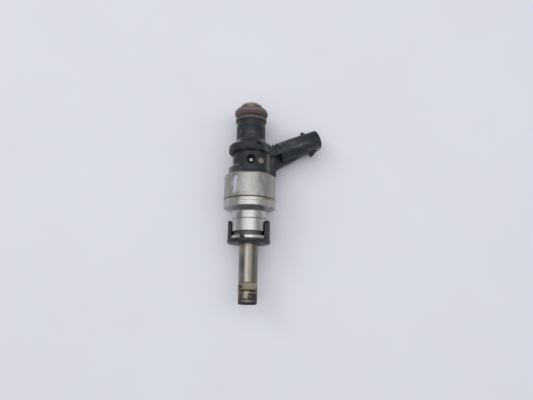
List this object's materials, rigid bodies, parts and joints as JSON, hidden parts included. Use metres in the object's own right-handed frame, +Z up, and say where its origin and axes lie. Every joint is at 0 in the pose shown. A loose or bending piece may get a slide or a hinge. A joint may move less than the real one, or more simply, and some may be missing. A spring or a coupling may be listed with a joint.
{
  "type": "fuel injector",
  "caption": "Solenoid direct-injection fuel injector: sealed fuel inlet, steel coil body with angled plug socket, clip-on support and slim nozzle with combustion seal.",
  "frame": {"origin": "on the injector's long axis, in the clip's face that seats in the cylinder head", "axes": "+Y along the long axis towards the fuel inlet, +Z up from the surface it lies on, +X towards the side the plug socket leaves on"},
  "size_m": [0.0401, 0.0822, 0.0208],
  "materials": {
    "steel_housing": "satin turned steel, lightly stained",
    "steel_neck": "bright ground steel",
    "steel_nozzle": "warm grey drawn steel",
    "steel_tip": "steel dark with soot and heat",
    "steel_inner": "bright machined steel",
    "spring_steel": "drawn spring wire",
    "ball_steel": "polished bearing steel",
    "washer_steel": "pale matt plated steel",
    "black_plastic": "black glass-filled nylon, fine grain",
    "clip_plastic": "black moulded plastic",
    "spacer_plastic": "black moulded plastic",
    "support_plastic": "khaki grey plastic",
    "filter_plastic": "natural nylon",
    "filter_gauze": "fine steel gauze",
    "o_ring_rubber": "aged brown fluoro rubber",
    "seal_ptfe": "stained filled sealing plastic",
    "copper": "dull copper",
    "contact_tin": "plated terminal alloy",
    "coil_wire": "enamelled copper wire",
    "bobbin_plastic": "black bobbin plastic"
  },
  "bodies": {
    "injector": {"inlet_tube": "steel_neck", "rail_o_ring": "o_ring_rubber", "support_ring": "support_plastic", "spacer_ring": "spacer_plastic", "filter_frame": "filter_plastic", "filter_mesh": "filter_gauze", "adjusting_sleeve": "steel_inner", "return_spring": "spring_steel", "pole_piece": "steel_inner", "spacer_sleeve": "steel_inner", "guide_disc": "steel_inner", "seat_body": "steel_tip", "nozzle_tube": "steel_nozzle", "valve_body": "steel_neck", "combustion_seal": "seal_ptfe", "coil_bobbin": "bobbin_plastic", "coil_winding": "coil_wire", "terminal_a": "contact_tin", "terminal_b": "contact_tin", "coil_housing": "steel_housing", "flux_plate": "steel_inner", "plug_body": "black_plastic", "neck_cap": "black_plastic", "port_ball": "ball_steel", "contact_rivet": "copper"},
    "armature": {"armature": "steel_inner", "armature_spring": "spring_steel"},
    "needle": {"needle": "steel_inner", "stop_ring": "steel_inner", "valve_ball": "ball_steel"},
    "clip": {"support_clip": "clip_plastic", "seat_washer": "washer_steel"}
  },
  "joints": [
    {"name": "armature_lift", "type": "slide", "parent": "injector", "child": "armature", "axis": [0, 1, 0], "range_m": [0, 0.00012], "stiffness_N_per_m": 100, "springref_m": -0.0006},
    {"name": "needle_lift", "type": "slide", "parent": "injector", "child": "needle", "axis": [0, 1, 0], "range_m": [0, 0.00007]},
    {"name": "clip_turn", "type": "hinge", "parent": "injector", "child": "clip", "pos_m": [0, 0, 0], "axis": [0, 1, 0], "continuous": true}
  ],
  "couplings": [
    {"joint": "needle_lift", "follows": "armature_lift", "ratio": 0.5833}
  ]
}
